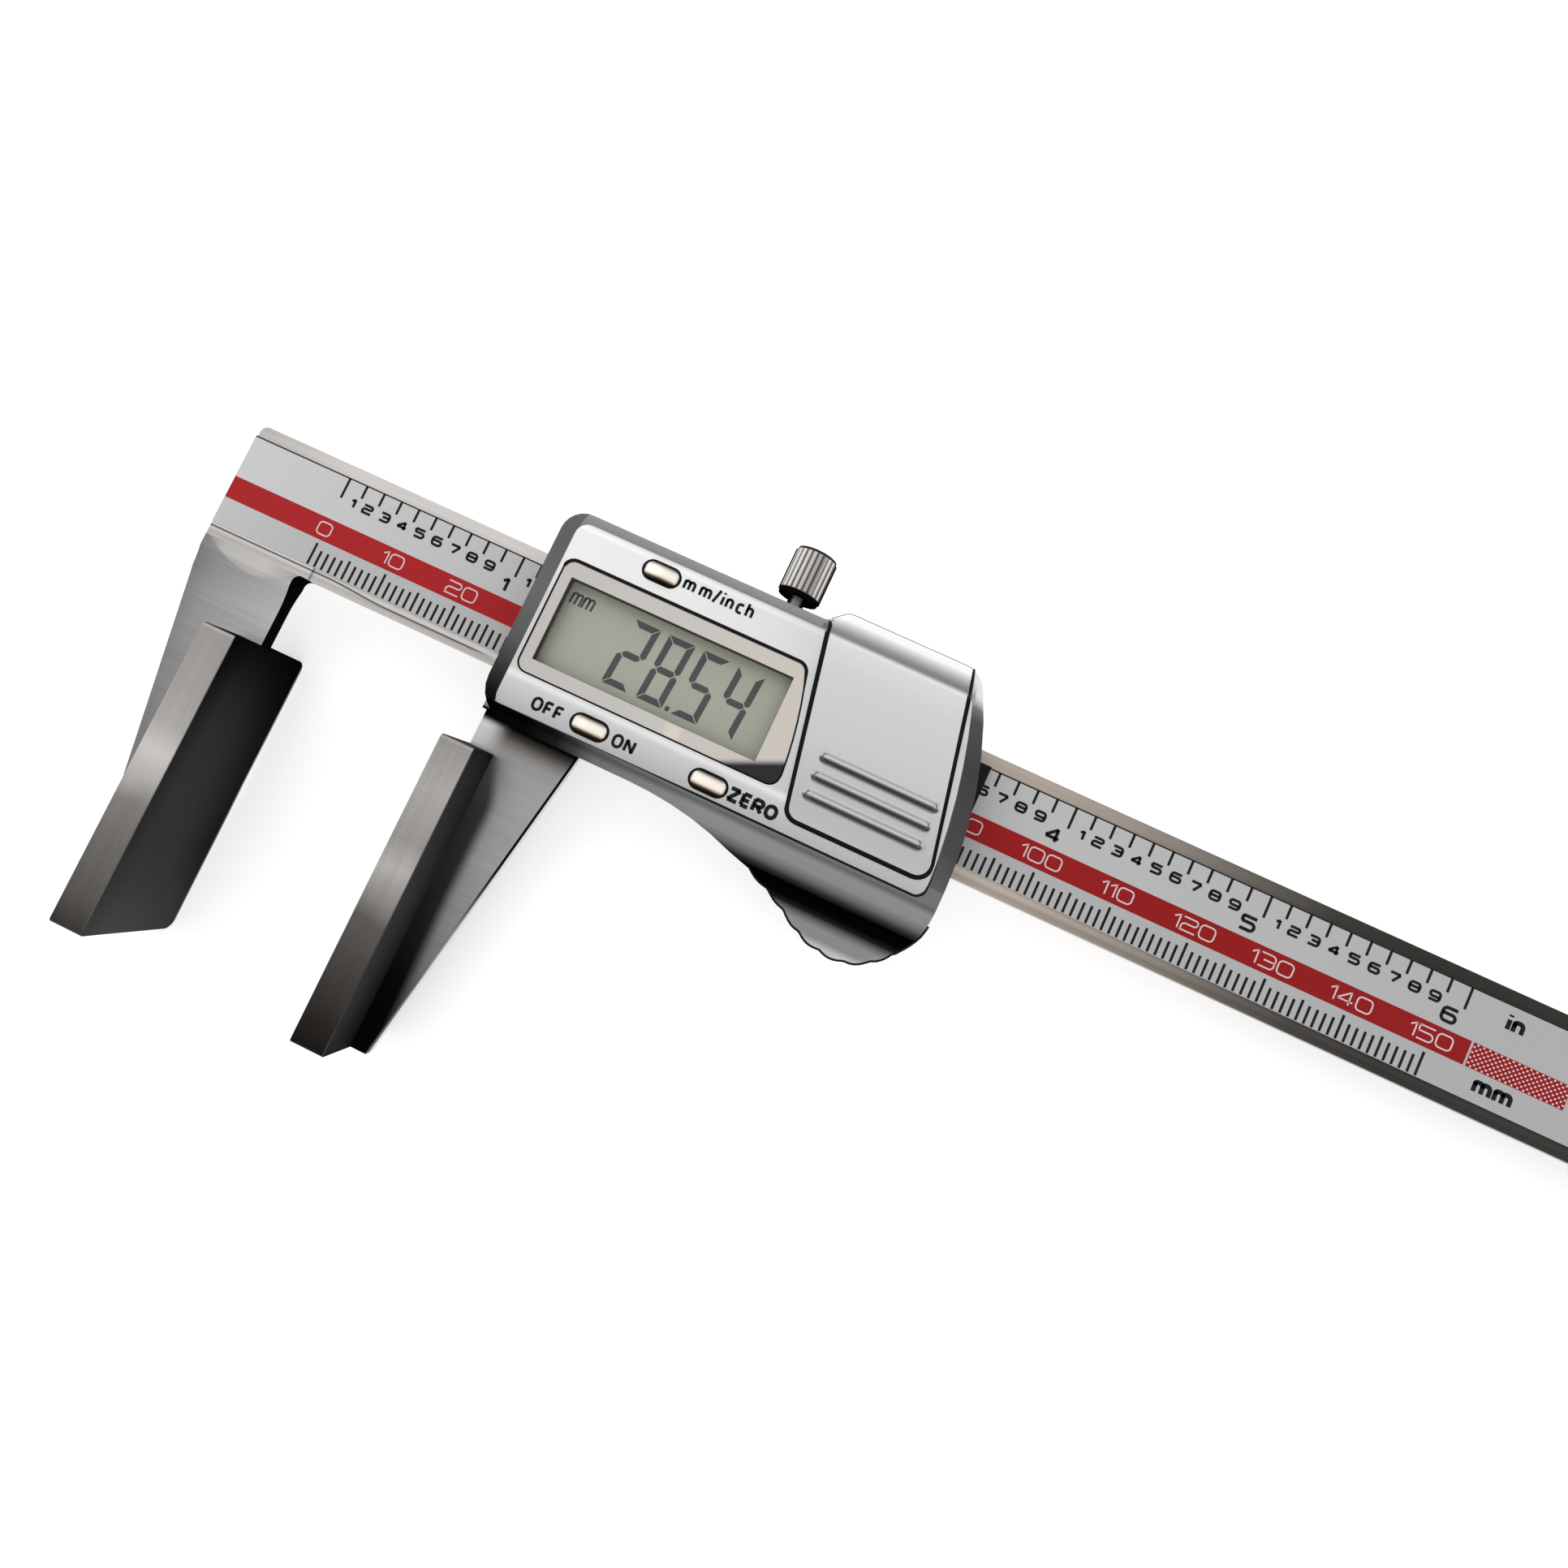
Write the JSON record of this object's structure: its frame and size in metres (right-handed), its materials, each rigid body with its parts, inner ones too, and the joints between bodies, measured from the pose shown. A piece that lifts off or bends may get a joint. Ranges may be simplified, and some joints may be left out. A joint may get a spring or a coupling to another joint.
{
  "type": "wire rope caliper",
  "caption": "Digital caliper for measuring wire rope, with two wide flat measuring plates, a millimetre and inch scale, a display, a sliding battery cover and a lock screw",
  "frame": {"origin": "Centre of the fixed measuring face, in the middle of the beam's thickness.", "axes": "+X points along the beam from the fixed jaw to its free end and out of the fixed measuring face. +Y points across the beam from the jaws to the lock screw. +Z points out of the display."},
  "size_m": [0.2355, 0.0805, 0.0177],
  "materials": {
    "brushed_beam_steel": "ground and brushed steel",
    "plate_steel": "finely ground hardened steel",
    "scale_print": "printed silver sheet with black graduations and a red band",
    "dark_screw_steel": "dark oxide steel",
    "gib_brass": "plain brass",
    "housing_plastic": "silver coated face over a dark grey body",
    "bezel_metal": "warm grey polished metal",
    "window_glass": "clear polished window",
    "display_grey": "grey green display",
    "black_rubber": "black rubber",
    "board_green": "green laminate",
    "button_metal": "pale gold satin metal",
    "cell_steel": "bright plated steel",
    "contact_brass": "plated spring brass",
    "cover_plastic": "silver coated plastic",
    "wiper_plastic": "black plastic",
    "knob_chrome": "dark chrome with a straight knurl"
  },
  "bodies": {
    "beam_body": {"beam": "brushed_beam_steel", "fixed_plate": "plate_steel", "scale_sheet": "scale_print", "end_stop": "plate_steel", "end_stop_screws": "dark_screw_steel"},
    "slider": {"slider_frame": "brushed_beam_steel", "moving_plate": "plate_steel", "back_plate": "brushed_beam_steel", "back_plate_screws": "dark_screw_steel", "gib_strip": "gib_brass", "gib_screws": "dark_screw_steel", "housing": "housing_plastic", "housing_screws": "dark_screw_steel", "bezel": "bezel_metal", "display_window": "window_glass", "display_panel": "display_grey", "contact_strips": "black_rubber", "circuit_board": "board_green", "reading_head": "board_green", "upper_key_pad": "black_rubber", "lower_key_pad": "black_rubber", "button_cell": "cell_steel", "positive_contact": "contact_brass", "negative_contact": "contact_brass", "rear_wiper": "wiper_plastic"},
    "cover": {"battery_cover": "cover_plastic"},
    "unit_key": {"unit_button": "button_metal"},
    "power_key": {"power_button": "button_metal"},
    "zero_key": {"zero_button": "button_metal"},
    "pad": {"lock_pad": "gib_brass"},
    "screw": {"lock_screw": "knob_chrome"}
  },
  "joints": [
    {"name": "slider_slide", "type": "slide", "parent": "beam_body", "child": "slider", "axis": [1, 0, 0], "range_m": [-0.0285, 0.1214]},
    {"name": "cover_slide", "type": "slide", "parent": "slider", "child": "cover", "axis": [-0.2045, 0.9789, 0], "range_m": [0, 0.026]},
    {"name": "unit_press", "type": "slide", "parent": "slider", "child": "unit_key", "axis": [0, 0, -1], "range_m": [0, 0.0004], "stiffness_N_per_m": 800},
    {"name": "power_press", "type": "slide", "parent": "slider", "child": "power_key", "axis": [0, 0, -1], "range_m": [0, 0.0004], "stiffness_N_per_m": 800},
    {"name": "zero_press", "type": "slide", "parent": "slider", "child": "zero_key", "axis": [0, 0, -1], "range_m": [0, 0.0004], "stiffness_N_per_m": 800},
    {"name": "lock_push", "type": "slide", "parent": "slider", "child": "pad", "axis": [0, 1, 0], "range_m": [-0.0000486, 0.00025]},
    {"name": "lock_turn", "type": "hinge", "parent": "pad", "child": "screw", "pos_m": [0.05919, 0.0382, 0], "axis": [0, 1, 0], "range_deg": [-45, 190]}
  ],
  "couplings": [
    {"joint": "lock_turn", "follows": "lock_push", "rad_per_m": 12566}
  ]
}
